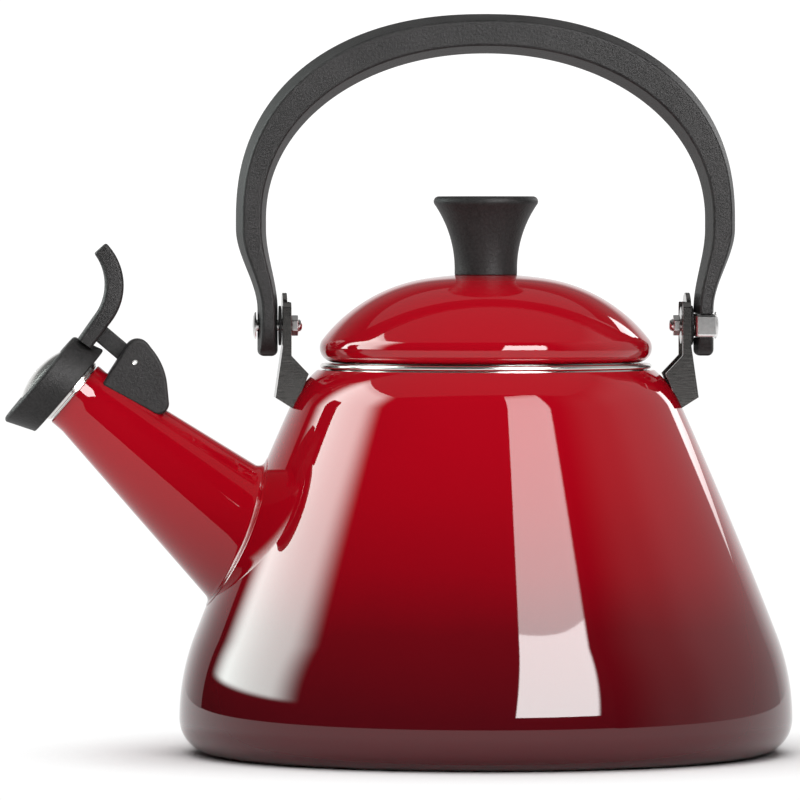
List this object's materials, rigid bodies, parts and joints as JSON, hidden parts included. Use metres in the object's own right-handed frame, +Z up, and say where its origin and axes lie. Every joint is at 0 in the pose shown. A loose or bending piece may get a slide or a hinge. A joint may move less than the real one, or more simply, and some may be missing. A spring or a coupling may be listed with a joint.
{
  "type": "stovetop whistling kettle",
  "caption": "Conical enamelled steel kettle with a lift-off domed lid, a fold-down bail handle and a straight spout closed by a hinged whistle.",
  "frame": {"origin": "centre of the flat base, on the kettle's axis", "axes": "+Z up along the kettle's axis, the spout points along -X, the handle folds about X"},
  "size_m": [0.2592, 0.202, 0.2432],
  "materials": {
    "red_enamel": "glossy vitreous enamel, bright red at the top darkening to deep red at the base",
    "black_plastic": "fine-grained matt black heat-resistant moulding",
    "stainless_steel": "satin pressed stainless steel",
    "bright_steel": "polished stainless steel",
    "spacer_fibre": "dark red-brown fibre"
  },
  "bodies": {
    "kettle": {"body_shell": "red_enamel", "spout": "red_enamel", "hinge_block": "black_plastic", "pivot_pad_left": "black_plastic", "pivot_pad_right": "black_plastic", "spout_lug": "stainless_steel", "handle_bracket_left": "stainless_steel", "handle_bracket_right": "stainless_steel", "detent_plate_left": "stainless_steel", "detent_plate_right": "stainless_steel", "pivot_nut_left": "stainless_steel", "pivot_nut_right": "stainless_steel", "pivot_bolt_left": "stainless_steel", "pivot_bolt_right": "stainless_steel", "rim_ring": "bright_steel", "spout_collar": "bright_steel", "hinge_pin": "bright_steel", "pivot_spacer": "spacer_fibre"},
    "handle": {"handle_grip": "black_plastic", "lock_clip": "bright_steel"},
    "lid": {"lid_shell": "red_enamel", "lid_skirt": "stainless_steel", "lid_knob": "black_plastic", "lid_knob_screw": "stainless_steel", "lid_knob_washer": "stainless_steel"},
    "whistle": {"whistle_cap": "black_plastic", "whistle_dome": "bright_steel", "whistle_disc": "bright_steel"}
  },
  "joints": [
    {"name": "handle_fold", "type": "hinge", "parent": "kettle", "child": "handle", "pos_m": [0, 0, 0.14074], "axis": [1, 0, 0], "range_deg": [-80, 80]},
    {"name": "lid_lift", "type": "slide", "parent": "kettle", "child": "lid", "axis": [0, 0, 1], "range_m": [0, 0.04]},
    {"name": "whistle_flip", "type": "hinge", "parent": "kettle", "child": "whistle", "pos_m": [-0.11554, 0, 0.12872], "axis": [0, 1, 0], "range_deg": [0, 65]}
  ]
}
